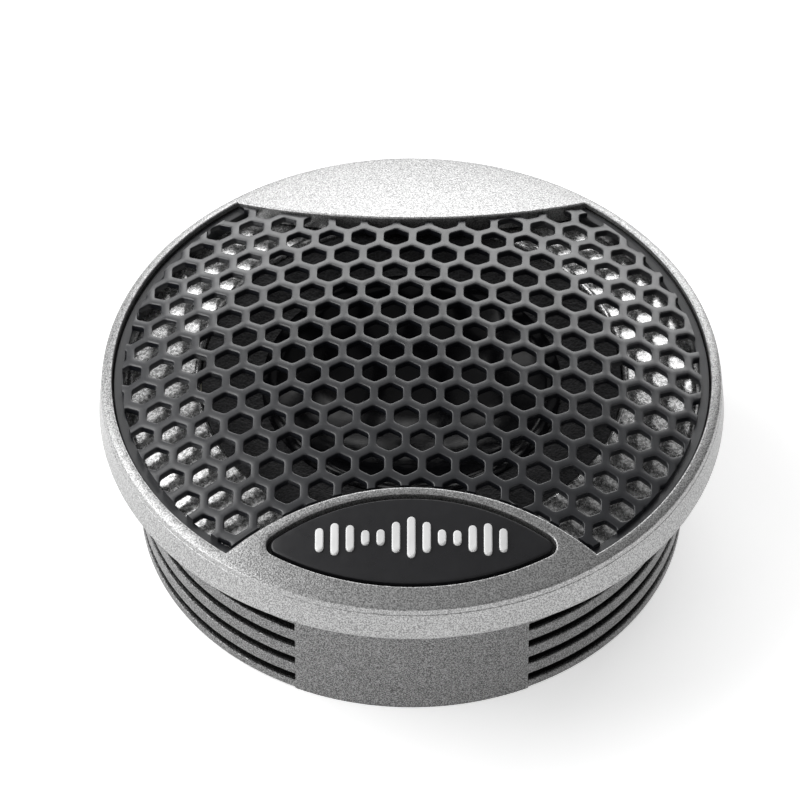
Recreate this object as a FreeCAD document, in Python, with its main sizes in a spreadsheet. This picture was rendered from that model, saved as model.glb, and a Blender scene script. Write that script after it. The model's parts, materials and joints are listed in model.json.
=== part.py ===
import FreeCAD, Part
import math
import os
import re
import Sketcher

# A flush-mount car tweeter with an inverted dome. It stands on its rear rim:
# +Z points out of the grille, the badge is on the -Y side, and the origin is
# the centre of the rear rim. Every radius is measured from the Z axis.

os.makedirs("parts", exist_ok=True)
doc = FreeCAD.newDocument("car_tweeter")

SIZES = {
    # outside of the housing
    "flange_radius": (23.0, "lower edge of the flange band"),
    "flange_top_radius": (22.78, "upper edge of the flange band"),
    "flange_low": (10.62, "underside of the flange"),
    "flange_high": (13.3, "top face of the housing"),
    "barrel_radius": (20.14, "barrel that goes through the panel"),
    "edge_break": (0.25, "small chamfers on the housing"),
    # inside of the housing
    "bore_radius": (18.4, "bore of the barrel"),
    "ledge_height": (11.3, "ledge that carries the chassis"),
    "counterbore_radius": (21.95, "counterbore above the ledge"),
    "cover_rebate_radius": (19.15, "rebate for the rear cover"),
    "cover_seat": (1.2, "top of the rear cover"),
    "boss_circle": (17.1, "screw bosses lie on this radius"),
    "boss_radius": (1.6, "screw boss"),
    "boss_top": (6.2, "top of the screw bosses"),
    # side grooves of the barrel
    "groove_first": (0.8, "lower edge of the lowest groove"),
    "groove_width": (0.76, "height of one groove"),
    "groove_pitch": (1.82, "spacing of the grooves"),
    "groove_depth": (0.6, "depth of one groove"),
    "groove_arc": (130.0, "angle that each side's grooves cover"),
    # front shell
    "dome_radius": (67.56, "spherical radius of the whole front"),
    "bezel_apex": (17.56, "height of the bezel's sphere on the axis"),
    "bezel_low": (13.42, "underside of the bezel's outer ring"),
    "bezel_step": (13.5, "underside of the bezel over the grille skirt"),
    "bezel_plate": (1.5, "thickness of the crescent and badge frame"),
    "plate_radius": (21.0, "the thick plates end here"),
    "window_radius": (21.96, "round opening for the grille"),
    "crescent_radius": (24.1, "arc that bounds the rear crescent"),
    "crescent_middle": (13.9, "that arc crosses the Y axis here"),
    "frame_radius": (22.8, "arc that bounds the badge frame"),
    "frame_middle": (13.2, "that arc crosses the Y axis at minus this"),
    # badge
    "badge_half_length": (10.58, "centre to tip of the lens-shaped badge"),
    "badge_line": (17.25, "line through the tips, at minus this Y"),
    "badge_inner_rise": (3.2, "bulge of the badge towards the grille"),
    "badge_outer_rise": (3.4, "bulge of the badge towards the rim"),
    "badge_gap": (0.32, "gap all round the badge"),
    "badge_thickness": (0.8, "badge plate"),
    "badge_sink": (0.12, "badge surface below the bezel surface"),
    "emblem_pitch": (1.1, "spacing of the emblem's bars"),
    "emblem_width": (0.6, "width of one bar"),
    "emblem_height": (3.1, "length of the middle bar"),
    "emblem_relief": (0.25, "bars stand this far above the badge"),
    # grille
    "grille_apex": (17.24, "height of the grille on the axis"),
    "grille_thickness": (0.6, "thickness of the perforated dome"),
    "hole_pitch": (2.41, "centre distance of the hexagonal holes"),
    "strut_width": (0.63, "web between two holes"),
    "hole_row_offset": (3.594, "Y of the reference row of holes, before the turn"),
    "hole_column_offset": (-0.21, "X shift of the columns of holes, before the turn"),
    "hole_turn": (-1.24, "turn of the hole pattern"),
    "grille_radius": (21.3, "perforated dome ends here"),
    "grille_arc_gap": (0.35, "gap between the mesh and the frame arc"),
    "skirt_inner": (21.1, "inside of the grille skirt"),
    "skirt_outer": (21.85, "outside of the grille skirt"),
    "skirt_low": (12.5, "foot of the grille skirt"),
    "skirt_high": (13.4, "top of the grille skirt"),
    # flare ring and chassis
    "flare_inner": (15.5, "inside of the flare ring"),
    "flare_lip": (13.75, "height of the flare's inner lip"),
    "flare_apex": (15.85, "height of the flare's sphere on the axis"),
    "flare_base": (12.0, "foot of the flare, top of the chassis"),
    "seat_radius": (20.9, "flat seat of the grille skirt begins here"),
    "chassis_outer": (21.85, "rim of the chassis"),
    "collar_inner": (13.95, "chassis collar round the motor"),
    "collar_outer": (15.0, "outside of that collar"),
    "collar_low": (4.6, "foot of the collar"),
    "stop_inner": (12.9, "stop lip above the motor"),
    "stop_thickness": (0.6, "thickness of the stop lip"),
    "spigot_inner": (17.5, "spigot that centres the chassis"),
    "spigot_outer": (18.3, "outside of the spigot"),
    "spigot_low": (9.9, "foot of the spigot"),
    # motor
    "pot_outer": (13.9, "outside of the yoke pot"),
    "pot_inner": (10.9, "inside of the yoke pot"),
    "pot_low": (2.2, "underside of the yoke pot"),
    "pot_floor": (4.0, "floor of the yoke pot"),
    "pot_top": (9.0, "top of the yoke pot and of the pole plate"),
    "magnet_radius": (9.0, "neodymium disc"),
    "pole_radius": (9.5, "pole plate"),
    "pole_low": (7.0, "underside of the pole plate"),
    "pole_pad": (0.6, "felt pad on the pole plate"),
    # moving parts
    "coil_inner": (9.9, "inside of the voice-coil former"),
    "former_wall": (0.1, "wall of the former"),
    "former_low": (6.6, "foot of the former"),
    "former_high": (12.7, "top of the former"),
    "winding_low": (6.8, "foot of the winding"),
    "winding_high": (9.2, "top of the winding"),
    "winding_wall": (0.4, "radial thickness of the winding"),
    "dome_edge": (12.9, "underside of the dome's flat rim"),
    "dome_rim": (11.0, "outside of the dome's flat rim"),
    "dish_radius": (10.0, "radius of the dish"),
    "dish_depth": (2.4, "depth of the dish"),
    "dome_wall": (0.12, "thickness of the dome"),
    # surround, between the dome and its mounting ring
    "foam_outer": (15.35, "outside of the foam surround"),
    "foam_clamp": (14.0, "the flat clamped land begins here"),
    "foam_bond": (11.2, "the flat bonded land ends here"),
    "foam_high": (13.5, "top of the clamped land"),
    "foam_wall": (0.5, "thickness of the foam"),
    # electrical pieces
    "tab_inner": (13.1, "inner end of a solder tab"),
    "tab_outer": (17.0, "outer end of a solder tab"),
    "tab_width": (1.4, "width of a solder tab"),
    "tab_wall": (0.2, "thickness of a solder tab"),
    "relief_width": (1.8, "channels that clear the solder tabs"),
    "relief_height": (0.35, "height of those channels"),
    "wire_circle": (16.4, "hookup wires run on this radius"),
    "wire_radius": (0.4, "insulated hookup wire"),
    "lead_radius": (0.13, "tinsel lead"),
    "terminal_spacing": (5.2, "distance between the two terminals"),
    "terminal_line": (16.5, "Y of the terminals"),
    "terminal_wall": (0.5, "thickness of a terminal"),
    "positive_width": (2.8, "width of the positive terminal"),
    "negative_width": (2.0, "width of the negative terminal"),
    "terminal_low": (0.3, "lower tips of the terminals"),
    "terminal_high": (3.2, "upper ends of the terminals"),
    "board_thickness": (0.8, "terminal board"),
    "board_length": (12.4, "terminal board"),
    "rivet_spacing": (10.6, "distance between the two rivets"),
    "rivet_radius": (0.5, "rivet shank"),
    # rear cover and screws
    "cover_radius": (19.05, "rear cover"),
    "cover_low": (0.2, "outside face of the rear cover"),
    "screw_radius": (0.7, "screw shank"),
    "screw_head": (1.3, "screw head"),
    "screw_head_height": (0.5, "screw head"),
    "screw_top": (5.2, "tip of the screws"),
}

sheet = doc.addObject("Spreadsheet::Sheet", "sizes")
for row, (alias, (number, meaning)) in enumerate(SIZES.items(), 1):
    sheet.set(f"A{row}", meaning)
    sheet.set(f"B{row}", str(number))
    sheet.setAlias(f"B{row}", alias)
doc.recompute()


def bound(text):
    """The expression with every alias written as a reference to the sheet."""
    return re.sub(
        r"[a-z]+(_[a-z]+)+",
        lambda word: f"sizes.{word[0]}" if word[0] in SIZES else word[0],
        str(text),
    )


def number_of(text):
    """The present value of an expression in the sheet's aliases."""
    return float(sheet.evalExpression(bound(text)))


# ---------------------------------------------------------------- modelling helpers


def new_body(label):
    body = doc.addObject("PartDesign::Body", label)
    body.Label = label
    return body


def origin_plane(body, role):
    return [f for f in body.Origin.OriginFeatures if f.Role == role][0]


def new_sketch(body, role, height=None):
    """A sketch on one of the body's own planes, raised to a height if one is given."""
    sketch = body.newObject("Sketcher::SketchObject", f"{body.Label}_sketch")
    sketch.AttachmentSupport = [(origin_plane(body, role), "")]
    sketch.MapMode = "FlatFace"
    if height is not None:
        sketch.setExpression("AttachmentOffset.Base.z", bound(height))
    return sketch


def bind(sketch, kind, *where):
    """Adds one distance constraint whose value is an expression in the sheet."""
    *place, text = where
    index = sketch.addConstraint(Sketcher.Constraint(kind, *place, number_of(text)))
    sketch.setExpression(f"Constraints[{index}]", bound(text))


def draw_outline(sketch, corners, arcs=None):
    """Closes a loop through corners (x, y), each an expression. arcs maps the number
    of an edge to the centre x, centre y and radius of the short arc that replaces its
    straight line. A corner's y may be None: then the arc that meets it, passing above
    its own centre, settles it."""
    arcs = arcs or {}
    count = len(corners)
    points = []
    for n, (x, y) in enumerate(corners):
        px = number_of(x)
        if y is None:
            cx, cy, radius = arcs[n if n in arcs else (n - 1) % count]
            reach = number_of(radius) ** 2 - (px - number_of(cx)) ** 2
            points.append(FreeCAD.Vector(px, number_of(cy) + math.sqrt(reach), 0))
        else:
            points.append(FreeCAD.Vector(px, number_of(y), 0))
    first = sketch.GeometryCount
    for n, start in enumerate(points):
        end = points[(n + 1) % count]
        if n in arcs:
            cx, cy, radius = (number_of(text) for text in arcs[n])
            centre = FreeCAD.Vector(cx, cy, 0)
            outwards = ((start + end) / 2 - centre).normalize()
            edge = Part.Arc(start, centre + outwards * radius, end)
        else:
            edge = Part.LineSegment(start, end)
        sketch.addGeometry(edge, False)
    for n, (x, y) in enumerate(corners):
        after, before = first + n, first + (n - 1) % count
        ends = [nearest_end(sketch, edge, points[n]) for edge in (before, after)]
        sketch.addConstraint(
            Sketcher.Constraint("Coincident", before, ends[0], after, ends[1])
        )
        bind(sketch, "DistanceX", -1, 1, after, ends[1], x)
        if y is not None:
            bind(sketch, "DistanceY", -1, 1, after, ends[1], y)
    for n, (cx, cy, radius) in arcs.items():
        free = [corners[n][1], corners[(n + 1) % count][1]].count(None)
        if free != 1:
            bind(sketch, "Radius", first + n, radius)
        if free:
            bind(sketch, "DistanceX", -1, 1, first + n, 3, cx)
            bind(sketch, "DistanceY", -1, 1, first + n, 3, cy)


def nearest_end(sketch, edge, point):
    """1 if the edge starts at the point and 2 if it ends there: an arc is stored
    anticlockwise, whichever way it was drawn."""
    return 1 if sketch.getPoint(edge, 1).distanceToPoint(point) < 1e-4 else 2


def revolve(body, corners, arcs=None):
    """Turns a section (radius, height) round the Z axis."""
    sketch = new_sketch(body, "XZ_Plane")
    draw_outline(sketch, corners, arcs)
    turned = body.newObject("PartDesign::Revolution", f"{body.Label}_turned")
    turned.Profile = sketch
    turned.ReferenceAxis = (sketch, ["V_Axis"])
    turned.Angle = 360
    return turned


def ring(label, inner, outer, low, high):
    body = new_body(label)
    revolve(body, [(inner, low), (outer, low), (outer, high), (inner, high)])
    return body


def pocket_through(body, sketch):
    """Cuts the sketch's outline right through the body, both ways."""
    cut = body.newObject("PartDesign::Pocket", f"{body.Label}_cut")
    cut.Profile = sketch
    cut.Type = "ThroughAll"
    cut.Midplane = True
    return cut


def pocket_up(body, sketch, depth):
    """Cuts the sketch's outline upwards from its plane."""
    cut = body.newObject("PartDesign::Pocket", f"{body.Label}_cut")
    cut.Profile = sketch
    cut.setExpression("Length", bound(depth))
    cut.Reversed = True
    return cut


def around(body, feature, count):
    """Repeats a feature evenly round the Z axis."""
    pattern = body.newObject("PartDesign::PolarPattern", f"{body.Label}_pattern")
    pattern.Originals = [feature]
    pattern.Axis = (origin_plane(body, "Z_Axis"), [""])
    pattern.Angle = 360
    pattern.Occurrences = count
    body.Tip = pattern
    return pattern


def draw_circle(sketch, x, y, radius):
    centre = FreeCAD.Vector(number_of(x), number_of(y), 0)
    circle = Part.Circle(centre, FreeCAD.Vector(0, 0, 1), number_of(radius))
    index = sketch.addGeometry(circle, False)
    bind(sketch, "Radius", index, radius)
    bind(sketch, "DistanceX", -1, 1, index, 3, x)
    bind(sketch, "DistanceY", -1, 1, index, 3, y)


def draw_rectangle(sketch, x, y, width, depth):
    """A rectangle about the point (x, y)."""
    left, right = f"{x} - ({width}) / 2", f"{x} + ({width}) / 2"
    front, rear = f"{y} - ({depth}) / 2", f"{y} + ({depth}) / 2"
    draw_outline(sketch, [(left, front), (right, front), (right, rear), (left, rear)])


def static_piece(label, shape):
    """A piece whose shape is worked out below from the sheet's sizes."""
    piece = doc.addObject("Part::Feature", label)
    piece.Label = label
    piece.Shape = shape
    piece.Placement = FreeCAD.Placement()
    return piece


def size(alias):
    return SIZES[alias][0]


def ball(apex):
    """The solid ball of the front's radius whose top lies at this height."""
    return Part.makeSphere(size("dome_radius"), FreeCAD.Vector(0, 0, apex - size("dome_radius")))


def sphere_arc(apex):
    """An edge of a section that follows the front's sphere, for draw_outline."""
    return ("0", f"{apex} - dome_radius", "dome_radius")


# ---------------------------------------------------------------- housing


def make_housing():
    """Flange band and barrel in one casting, with a bore, a ledge and three bosses."""
    body = new_body("housing")
    revolve(
        body,
        [
            ("cover_rebate_radius", "0"),
            ("barrel_radius - edge_break", "0"),
            ("barrel_radius", "edge_break"),
            ("barrel_radius", "flange_low"),
            ("flange_radius - edge_break", "flange_low"),
            ("flange_radius", "flange_low + edge_break"),
            ("flange_top_radius", "flange_high"),
            ("counterbore_radius", "flange_high"),
            ("counterbore_radius", "ledge_height"),
            ("bore_radius", "ledge_height"),
            ("bore_radius", "cover_seat"),
            ("cover_rebate_radius", "cover_seat"),
        ],
    )
    boss_sketch = new_sketch(body, "XY_Plane", "cover_seat")
    draw_circle(boss_sketch, "0", "-boss_circle", "boss_radius")
    boss = body.newObject("PartDesign::Pad", "housing_boss")
    boss.Profile = boss_sketch
    boss.setExpression("Length", bound("boss_top - cover_seat"))
    around(body, boss, 3)
    pilot_sketch = new_sketch(body, "XY_Plane", "cover_seat")
    draw_circle(pilot_sketch, "0", "-boss_circle", "screw_radius + 0.02")
    pilot = pocket_up(body, pilot_sketch, "screw_top - cover_seat + 0.3")
    around(body, pilot, 3)
    for number in range(5):
        low = f"groove_first + {number} * groove_pitch"
        inner, outer = "barrel_radius - groove_depth", "barrel_radius + 1"
        high = f"{low} + groove_width"
        sketch = new_sketch(body, "XZ_Plane")
        draw_outline(sketch, [(inner, low), (outer, low), (outer, high), (inner, high)])
        groove = body.newObject("PartDesign::Groove", "housing_groove")
        groove.Profile = sketch
        groove.ReferenceAxis = (sketch, ["V_Axis"])
        groove.setExpression("Angle", bound("groove_arc"))
        groove.Midplane = True
        around(body, groove, 2)
    return body


# ---------------------------------------------------------------- front shell

REAR_CENTRE = "(crescent_middle + crescent_radius)"
FRONT_CENTRE = "(frame_middle + frame_radius)"


def make_window(sketch):
    """The grille's opening: the round rim on both sides, closed by the crescent's arc
    at the rear and by the badge frame's arc at the front."""
    rear_y = f"({REAR_CENTRE}^2 + window_radius^2 - crescent_radius^2) / (2 * {REAR_CENTRE})"
    front_y = f"({FRONT_CENTRE}^2 + window_radius^2 - frame_radius^2) / (2 * {FRONT_CENTRE})"
    rear_x = f"sqrt(window_radius^2 - ({rear_y})^2)"
    front_x = f"sqrt(window_radius^2 - ({front_y})^2)"
    draw_outline(
        sketch,
        [
            (front_x, f"-({front_y})"),
            (rear_x, rear_y),
            (f"-({rear_x})", rear_y),
            (f"-({front_x})", f"-({front_y})"),
        ],
        {
            0: ("0", "0", "window_radius"),
            1: ("0", REAR_CENTRE, "crescent_radius"),
            2: ("0", "0", "window_radius"),
            3: ("0", f"-{FRONT_CENTRE}", "frame_radius"),
        },
    )


def draw_lens(sketch, half_length, inner_rise, outer_rise):
    """The badge's outline: two arcs that meet in its tips. Each arc's radius follows
    from its half chord and its rise."""
    inner = f"(({half_length})^2 + ({inner_rise})^2) / (2 * ({inner_rise}))"
    outer = f"(({half_length})^2 + ({outer_rise})^2) / (2 * ({outer_rise}))"
    draw_outline(
        sketch,
        [(half_length, "-badge_line"), (f"-({half_length})", "-badge_line")],
        {
            0: ("0", f"{inner_rise} - badge_line - {inner}", inner),
            1: ("0", f"{outer} - badge_line - ({outer_rise})", outer),
        },
    )


def lens_shell(label, low_apex, high_apex, half_length, inner_rise, outer_rise):
    """A lens-shaped layer between two spheres that run parallel to the front."""
    body = new_body(label)
    reach = "counterbore_radius"
    revolve(
        body,
        [("0", low_apex), (reach, None), (reach, None), ("0", high_apex)],
        {0: sphere_arc(low_apex), 2: sphere_arc(high_apex)},
    )
    outline = new_sketch(body, "XY_Plane")
    draw_lens(outline, half_length, inner_rise, outer_rise)
    draw_circle(outline, "0", "0", "flange_radius + 1")
    pocket_through(body, outline)
    return body


def make_bezel_ring():
    """Outer ring, rear crescent and badge frame in one casting, on the front's sphere,
    with a recess for the badge."""
    blank = new_body("bezel_blank")
    underside = "bezel_apex - bezel_plate"
    edge = "flange_top_radius - 0.04"
    revolve(
        blank,
        [
            ("0", underside),
            ("plate_radius", None),
            ("plate_radius", "bezel_step"),
            ("counterbore_radius", "bezel_step"),
            ("counterbore_radius", "bezel_low"),
            (edge, "bezel_low"),
            (edge, None),
            ("0", "bezel_apex"),
        ],
        {0: sphere_arc(underside), 6: sphere_arc("bezel_apex")},
    )
    window = new_sketch(blank, "XY_Plane")
    make_window(window)
    pocket_through(blank, window)
    recess = lens_shell(
        "badge_recess",
        "bezel_apex - badge_sink - badge_thickness",
        "bezel_apex + 1",
        "badge_half_length + 1.6 * badge_gap",
        "badge_inner_rise + badge_gap",
        "badge_outer_rise + badge_gap",
    )
    cut = doc.addObject("Part::Cut", "bezel_ring")
    cut.Label = "bezel_ring"
    cut.Base = blank
    cut.Tool = recess


def make_badge_plate():
    """Lens-shaped plate whose top follows the front's sphere, a little sunk."""
    lens_shell(
        "badge_plate",
        "bezel_apex - badge_sink - badge_thickness",
        "bezel_apex - badge_sink",
        "badge_half_length",
        "badge_inner_rise",
        "badge_outer_rise",
    )


def make_badge_emblem():
    """A row of upright bars, tallest in the middle, like a level display."""
    surface = size("bezel_apex") - size("badge_sink")
    layer = ball(surface + size("emblem_relief")).cut(ball(surface))
    width, pitch = size("emblem_width"), size("emblem_pitch")
    bars = []
    for n in range(-6, 7):
        length = size("emblem_height") * (0.34 + 0.66 * math.cos(n * math.pi / 5) ** 2)
        length *= 1 - 0.045 * abs(n)
        x, y = n * pitch, -size("badge_line")
        stem = Part.makeBox(
            width, length - width, 4,
            FreeCAD.Vector(x - width / 2, y - (length - width) / 2, size("flange_high")),
        )
        ends = [
            Part.makeCylinder(width / 2, 4, FreeCAD.Vector(x, y + side, size("flange_high")))
            for side in ((length - width) / 2, -(length - width) / 2)
        ]
        bars.append(stem.fuse(ends).removeSplitter().common(layer).Solids[0])
    return static_piece("badge_emblem", Part.Compound(bars))


def hexagon(x, y, across, turn):
    """A hexagon with flats on both sides of its X axis before it is turned."""
    corner = across / math.sqrt(3)
    points = []
    for k in range(7):
        angle = math.radians(30 + 60 * k + turn)
        points.append(FreeCAD.Vector(x + corner * math.cos(angle), y + corner * math.sin(angle), 0))
    return Part.Face(Part.makePolygon(points))


def hole_centres(reach):
    """Centres of the hexagonal holes, in staggered rows turned as one pattern."""
    pitch = size("hole_pitch")
    rise = pitch * math.sqrt(3) / 2
    turn = math.radians(size("hole_turn"))
    steps = int(reach / rise) + 2
    for row in range(-steps, steps + 1):
        for column in range(-steps, steps + 1):
            x = size("hole_column_offset") + (column + (0.5 if row % 2 == 0 else 0)) * pitch
            y = size("hole_row_offset") + row * rise
            x, y = (
                x * math.cos(turn) - y * math.sin(turn),
                x * math.sin(turn) + y * math.cos(turn),
            )
            if math.hypot(x, y) < reach:
                yield x, y


def make_grille():
    """Spherical dome with hexagonal holes, on a skirt that stands on the flare ring."""
    apex, wall = size("grille_apex"), size("grille_thickness")
    axis = FreeCAD.Vector(0, 0, 1)
    across = size("hole_pitch") - size("strut_width")
    sheet_face = Part.Face(Part.Wire(Part.makeCircle(size("grille_radius"))))
    rear = Part.makeCircle(
        size("crescent_radius"),
        FreeCAD.Vector(0, size("crescent_middle") + size("crescent_radius") - 0.1, 0),
    )
    front = Part.makeCircle(
        size("frame_radius") + size("grille_arc_gap"),
        FreeCAD.Vector(0, -size("frame_middle") - size("frame_radius"), 0),
    )
    holes = [
        hexagon(x, y, across, size("hole_turn"))
        for x, y in hole_centres(size("grille_radius") + across)
    ]
    sheet_face = sheet_face.cut([Part.Face(Part.Wire(c)) for c in (rear, front)] + holes)
    # slivers that the trimming cuts off the lattice are left out
    lattice = max(sheet_face.Faces, key=lambda face: face.Area)
    prism = lattice.extrude(axis * (apex + 1))
    mesh = prism.common(ball(apex).cut(ball(apex - wall)))
    inner, outer = size("skirt_inner"), size("skirt_outer")
    low, high = size("skirt_low"), size("skirt_high")
    base = FreeCAD.Vector(0, 0, low)
    skirt = Part.makeCylinder(outer, high - low, base).cut(
        Part.makeCylinder(inner, high - low, base)
    )
    return static_piece("grille", mesh.fuse(skirt).removeSplitter())


def make_bezel_seal():
    """Thin gasket between the housing and the bezel."""
    return ring(
        "bezel_seal",
        "counterbore_radius",
        "flange_top_radius - 0.25",
        "flange_high",
        "bezel_low",
    )


# ---------------------------------------------------------------- flare and chassis


def radial_slot(body, inner, outer, height):
    """Cuts a channel through the foot of a ring along the X axis, on both sides."""
    sketch = new_sketch(body, "XY_Plane", "flare_base")
    for side in ("", "-"):
        x = f"{side}(({inner}) + ({outer})) / 2"
        draw_rectangle(sketch, x, "0", f"({outer}) - ({inner})", "relief_width")
    return pocket_up(body, sketch, height)


def make_flare_ring():
    """Silver ring round the diaphragm. Its top runs parallel to the grille."""
    body = new_body("flare_ring")
    revolve(
        body,
        [
            ("flare_inner", "flare_base"),
            ("chassis_outer", "flare_base"),
            ("chassis_outer", "skirt_low"),
            ("seat_radius", "skirt_low"),
            ("seat_radius", None),
            ("flare_inner + 0.35", None),
            ("flare_inner", "flare_lip"),
        ],
        {4: sphere_arc("flare_apex")},
    )
    radial_slot(body, "flare_inner - 0.5", "tab_outer + 0.3", "relief_height")
    return body


def make_chassis():
    """Carries the motor in its collar and the diaphragm on its top face."""
    body = new_body("chassis")
    stop_top = "pot_top + stop_thickness"
    revolve(
        body,
        [
            ("collar_inner", "collar_low"),
            ("collar_outer", "collar_low"),
            ("collar_outer", "ledge_height"),
            ("spigot_inner", "ledge_height"),
            ("spigot_inner", "spigot_low"),
            ("spigot_outer", "spigot_low"),
            ("spigot_outer", "ledge_height"),
            ("chassis_outer", "ledge_height"),
            ("chassis_outer", "flare_base"),
            ("collar_inner", "flare_base"),
            ("collar_inner", stop_top),
            ("stop_inner", stop_top),
            ("stop_inner", "pot_top"),
            ("collar_inner", "pot_top"),
        ],
    )
    holes = new_sketch(body, "XY_Plane")
    for side in ("", "-"):
        draw_circle(holes, f"{side}wire_circle", "0", "wire_radius + 0.1")
    pocket_through(body, holes)
    return body


def make_mounting_ring():
    """Rigid ring that the surround is glued to, with notches over the solder tabs."""
    body = ring(
        "diaphragm_mounting_ring",
        "foam_clamp",
        "foam_outer + 0.05",
        "flare_base",
        "foam_high - foam_wall",
    )
    radial_slot(body, "foam_clamp - 0.5", "foam_outer + 0.5", "relief_height")
    return body


# ---------------------------------------------------------------- motor


def make_motor():
    """Yoke pot, magnet, pole plate and the felt that damps the air over the pole."""
    pot = new_body("yoke_pot")
    revolve(
        pot,
        [
            ("0", "pot_low"),
            ("pot_outer", "pot_low"),
            ("pot_outer", "pot_top"),
            ("pot_inner", "pot_top"),
            ("pot_inner", "pot_floor"),
            ("0", "pot_floor"),
        ],
    )
    ring("magnet_disc", "0", "magnet_radius", "pot_floor", "pole_low")
    ring("pole_plate", "0", "pole_radius", "pole_low", "pot_top")
    ring("pole_damping_pad", "0", "pole_radius - 0.7", "pot_top", "pot_top + pole_pad")
    ring("rear_chamber_felt", "0", "pot_outer - 0.4", "cover_seat", "pot_low")


# ---------------------------------------------------------------- moving parts


def make_diaphragm():
    """Inverted metal dome: a dish with a narrow flat rim."""
    body = new_body("dome_diaphragm")
    radius = "((dish_radius^2 + dish_depth^2) / (2 * dish_depth))"
    height = f"(dome_edge - dish_depth + {radius})"
    top = f"{height} - sqrt({radius}^2 - dish_radius^2)"
    revolve(
        body,
        [
            ("0", f"{height} - {radius}"),
            ("dish_radius", top),
            ("dome_rim", top),
            ("dome_rim", f"{top} + dome_wall"),
            ("dish_radius", f"{top} + dome_wall"),
            ("0", f"{height} - {radius} + dome_wall"),
        ],
        {0: ("0", height, radius), 4: ("0", f"{height} + dome_wall", radius)},
    )
    return body


def make_voice_coil():
    outside = "coil_inner + former_wall"
    ring("voice_coil_former", "coil_inner", outside, "former_low", "former_high")
    ring(
        "voice_coil_winding",
        outside,
        f"{outside} + winding_wall",
        "winding_low",
        "winding_high",
    )


def make_surround():
    """Foam ring: a clamped land outside, a slope, and a bonded land under the dome."""
    body = new_body("surround_foam")
    revolve(
        body,
        [
            ("coil_inner + former_wall + 0.15", "dome_edge - foam_wall"),
            ("foam_bond", "dome_edge - foam_wall"),
            ("foam_clamp", "foam_high - foam_wall"),
            ("foam_outer", "foam_high - foam_wall"),
            ("foam_outer", "foam_high"),
            ("foam_clamp - 0.1", "foam_high"),
            ("foam_bond - 0.1", "dome_edge"),
            ("coil_inner + former_wall + 0.15", "dome_edge"),
        ],
    )
    return body


# ---------------------------------------------------------------- electrical pieces


def tube(path, radius):
    """A round wire along edges that are tangent to each other."""
    wire = Part.Wire(path)
    start = wire.Edges[0].firstVertex().Point
    heading = wire.Edges[0].tangentAt(wire.Edges[0].FirstParameter)
    section = Part.Wire(Part.makeCircle(radius, start, heading))
    swept = wire.makePipeShell([section], True, True)
    expected = math.pi * radius**2 * wire.Length
    print(f"wire volume {swept.Volume:.3f}, section times length {expected:.3f}")
    return swept


def polar(radius, degrees, height):
    angle = math.radians(degrees)
    return FreeCAD.Vector(radius * math.cos(angle), radius * math.sin(angle), height)


def mirrored_in_x(shape):
    return shape.mirror(FreeCAD.Vector(0, 0, 0), FreeCAD.Vector(1, 0, 0))


def make_hookup_wires():
    """From a terminal's upper end, up, round inside the housing and up through the
    chassis to its solder tab."""
    reach, bend, run = size("wire_circle"), 1.2, 8.2
    rise_at = math.degrees(math.asin(size("terminal_spacing") / 2 / reach))
    start = 90 - rise_at
    swing = math.degrees(bend / reach)
    low = polar(reach, start, size("terminal_high"))
    knee = polar(reach, start, run - bend)
    level = polar(reach, start - swing, run)
    lift = polar(reach, swing, run)
    turned = polar(reach, 0, run + bend)
    top = polar(reach, 0, size("flare_base"))

    def corner(angle, height, side):
        """The middle of a quarter bend, on the cylinder of the wire circle."""
        share = 1 - math.cos(math.radians(45))
        return polar(reach, angle + side * swing * share, height)

    drop = bend * (1 - math.cos(math.radians(45)))
    path = [
        Part.LineSegment(low, knee),
        Part.Arc(knee, corner(start, run - drop, -1), level),
        Part.Arc(level, polar(reach, (start - swing + swing) / 2, run), lift),
        Part.Arc(lift, corner(0, run + drop, 1), turned),
        Part.LineSegment(turned, top),
    ]
    wire = tube([edge.toShape() for edge in path], size("wire_radius"))
    static_piece("hookup_wire_positive", wire)
    static_piece("hookup_wire_negative", mirrored_in_x(wire))


def make_tinsel_leads():
    """Fine leads that hang in a loop from the former to the solder tabs."""
    radius = size("lead_radius")
    outside = size("coil_inner") + size("former_wall")
    start = FreeCAD.Vector(outside + radius + 0.02, 0, size("former_high") - 1.1)
    end = FreeCAD.Vector(size("tab_inner") + 0.35, 0, size("flare_base") - radius - 0.02)
    middle = (start + end) / 2 - FreeCAD.Vector(0, 0, 0.9)
    lead = tube([Part.Arc(start, middle, end).toShape()], radius)
    static_piece("tinsel_lead_positive", lead)
    static_piece("tinsel_lead_negative", mirrored_in_x(lead))


def make_box(label, x, y, z, length, width, height):
    """A box from its lowest corner, every value an expression."""
    box = doc.addObject("Part::Box", label)
    box.Label = label
    for name, text in (("Length", length), ("Width", width), ("Height", height)):
        box.setExpression(name, bound(text))
    for name, text in (("x", x), ("y", y), ("z", z)):
        box.setExpression(f"Placement.Base.{name}", bound(text))
    return box


def make_solder_tabs():
    """Flat strips on the chassis: a lead below the inner end, a wire at the outer."""
    size_of_tab = ("tab_outer - tab_inner", "tab_width", "tab_wall")
    make_box("solder_tab_positive", "tab_inner", "-tab_width / 2", "flare_base", *size_of_tab)
    make_box("solder_tab_negative", "-tab_outer", "-tab_width / 2", "flare_base", *size_of_tab)


def make_terminals():
    """Two blades of unequal width, so that the plug fits one way round."""
    for side, name in ((1, "positive"), (-1, "negative")):
        make_box(
            f"terminal_{name}",
            f"{side} * terminal_spacing / 2 - {name}_width / 2",
            "terminal_line - terminal_wall / 2",
            "terminal_low",
            f"{name}_width",
            "terminal_wall",
            "terminal_high - terminal_low",
        )


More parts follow.
